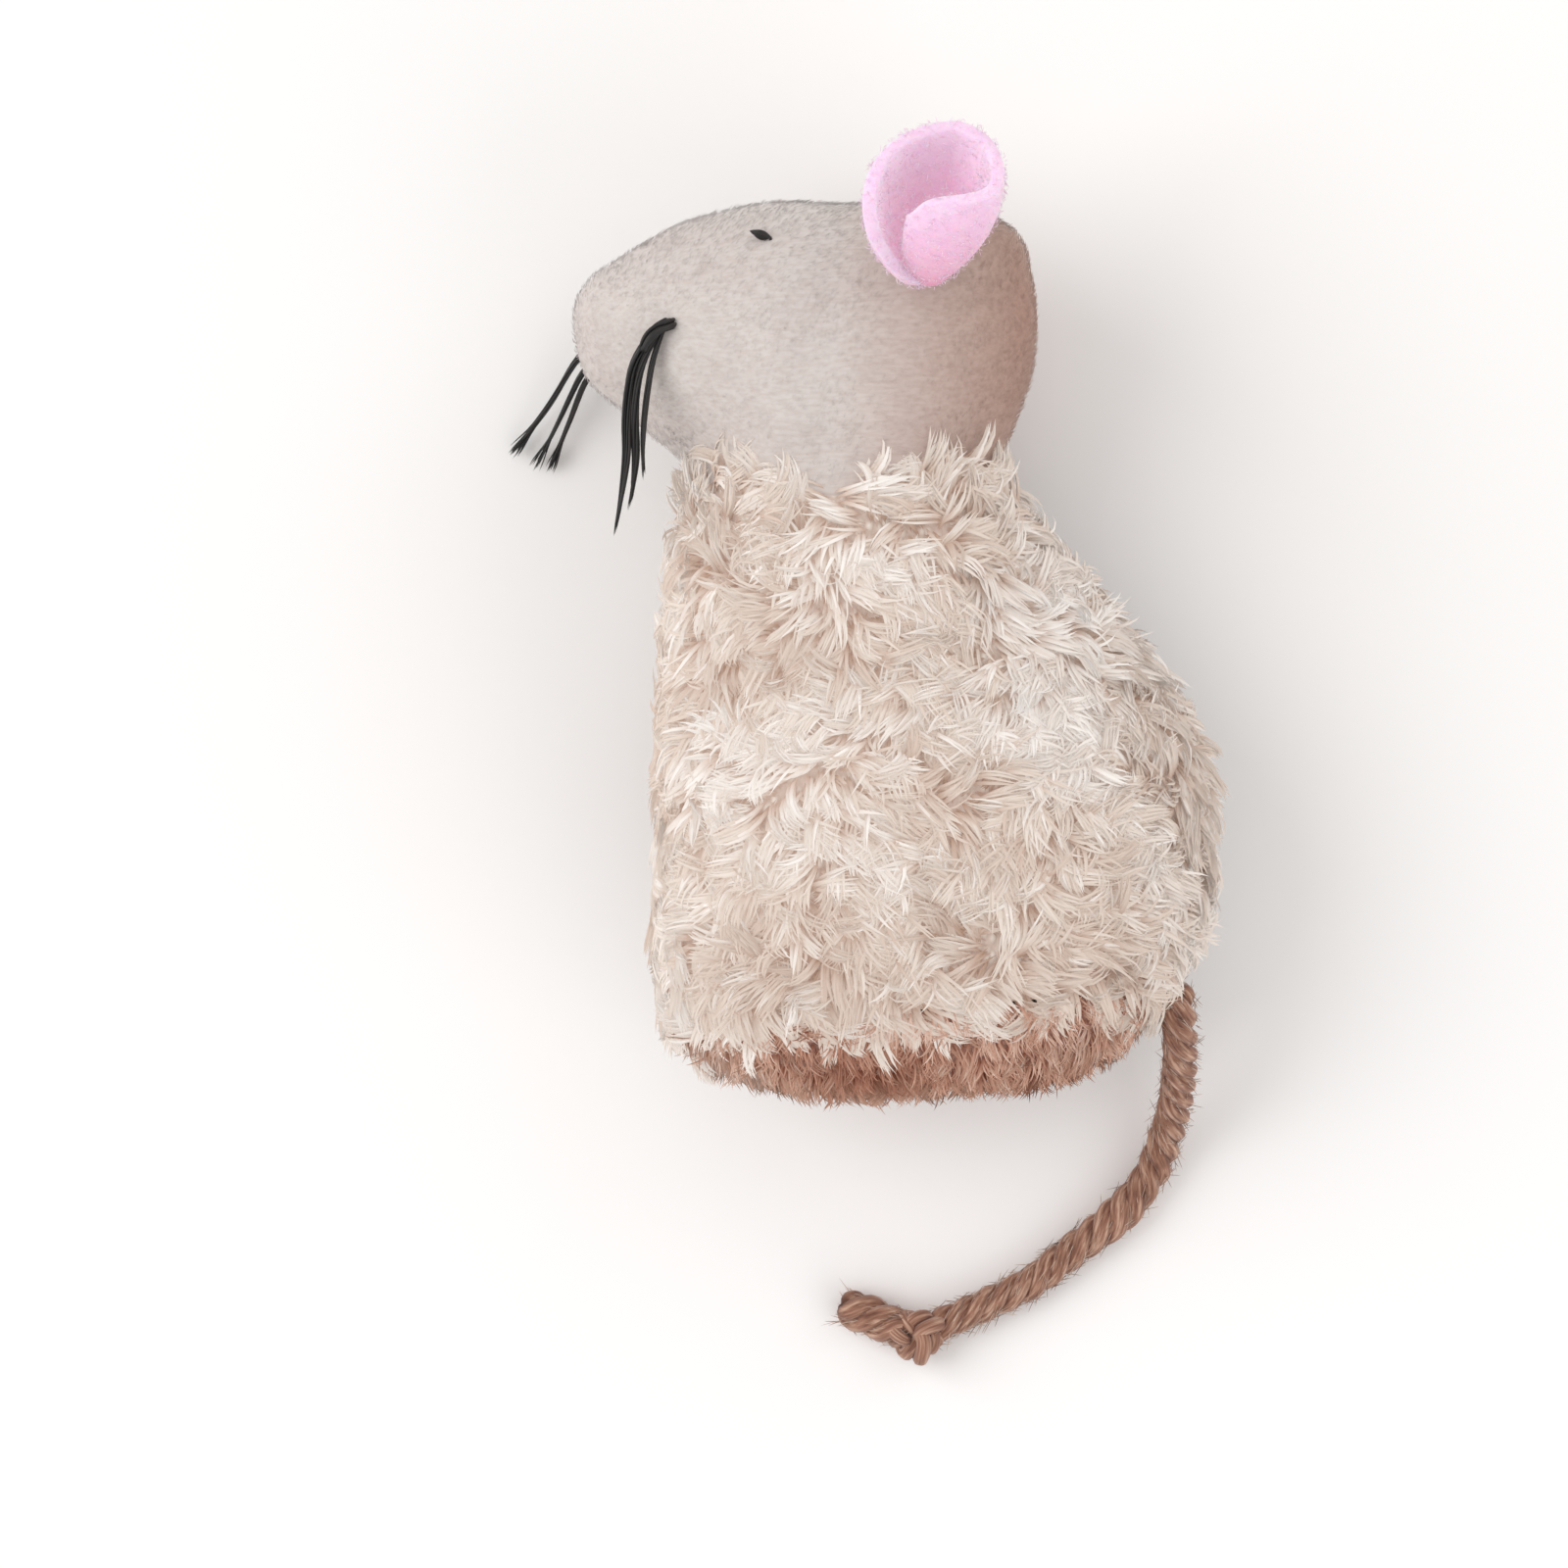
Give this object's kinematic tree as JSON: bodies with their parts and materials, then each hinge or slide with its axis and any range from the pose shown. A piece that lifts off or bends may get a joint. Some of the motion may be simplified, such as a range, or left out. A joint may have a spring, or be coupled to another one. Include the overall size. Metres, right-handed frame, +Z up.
{
  "type": "plush toy mouse",
  "caption": "Small stuffed plush mouse cat toy lying on its side, with felt ears, thread whiskers and a knotted jute rope tail",
  "frame": {"origin": "Bottom centre of the mouse without its tail, on the surface it lies on", "axes": "The mouse lies on its far side. +Z is up, away from that surface; +Y runs from the base to the crown of the head; -X is where the nose points."},
  "size_m": [0.0512, 0.0899, 0.0328],
  "materials": {
    "long_pile_plush": "cream long-pile plush, glossy curled fibres",
    "short_brown_plush": "warm brown short-pile plush",
    "filling": "loose white polyester fibre",
    "seam_thread": "spun polyester sewing thread",
    "jute": "three-strand twisted jute with loose fibres",
    "velour": "light grey-beige short-pile velour with a soft sheen",
    "black_thread": "black spun thread, frayed at the ends",
    "pink_thread": "pink sewing thread",
    "pink_felt": "soft pink pressed felt"
  },
  "bodies": {
    "torso": {"body_panel_near": "long_pile_plush", "body_panel_far": "long_pile_plush", "base_gusset": "short_brown_plush", "body_stuffing": "filling", "back_seam_thread": "seam_thread", "belly_seam_thread": "seam_thread", "gusset_seam_near": "seam_thread", "gusset_seam_far": "seam_thread", "neck_seam_near": "seam_thread", "neck_seam_far": "seam_thread", "tail_seam_end": "jute"},
    "head": {"head_panel_near": "velour", "head_panel_far": "velour", "head_stuffing": "filling", "head_seam_thread": "seam_thread", "eye_near": "black_thread", "eye_far": "black_thread", "ear_tack_near": "pink_thread", "ear_tack_far": "pink_thread", "whisker_through_thread": "black_thread"},
    "ear_near": {"ear_near": "pink_felt"},
    "ear_far": {"ear_far": "pink_felt"},
    "whiskers_near": {"whisker_knot_near": "black_thread", "whisker_near_1": "black_thread", "whisker_near_2": "black_thread", "whisker_near_3": "black_thread"},
    "whiskers_far": {"whisker_knot_far": "black_thread", "whisker_far_1": "black_thread", "whisker_far_2": "black_thread", "whisker_far_3": "black_thread"},
    "tail": {"tail_rope": "jute", "tail_knot": "jute", "tail_free_end": "jute"}
  },
  "joints": [
    {"name": "neck_nod", "type": "hinge", "parent": "torso", "child": "head", "pos_m": [-0.001, 0.0095, 0.013], "axis": [0, 0, 1], "range_deg": [-10, 10], "stiffness_Nm_per_rad": 0.01},
    {"name": "ear_near_fold", "type": "hinge", "parent": "head", "child": "ear_near", "pos_m": [0.00489, 0.02309, 0.02381], "axis": [1, 0, 0], "range_deg": [-12, 30], "stiffness_Nm_per_rad": 0.001},
    {"name": "ear_far_fold", "type": "hinge", "parent": "head", "child": "ear_far", "pos_m": [0.00489, 0.02309, 0.00219], "axis": [1, 0, 0], "range_deg": [0, 30], "stiffness_Nm_per_rad": 0.001},
    {"name": "whiskers_near_sway", "type": "hinge", "parent": "head", "child": "whiskers_near", "pos_m": [-0.01401, 0.02, 0.02112], "axis": [0, 0, 1], "range_deg": [-25, 12], "stiffness_Nm_per_rad": 0.0001},
    {"name": "whiskers_far_sway", "type": "hinge", "parent": "head", "child": "whiskers_far", "pos_m": [-0.01401, 0.02, 0.00488], "axis": [0, 0, 1], "range_deg": [-15, 15], "stiffness_Nm_per_rad": 0.0001},
    {"name": "tail_swing", "type": "hinge", "parent": "torso", "child": "tail", "pos_m": [0.02278, -0.0273, 0.013], "axis": [0, 0, 1], "range_deg": [-12, 60]}
  ]
}
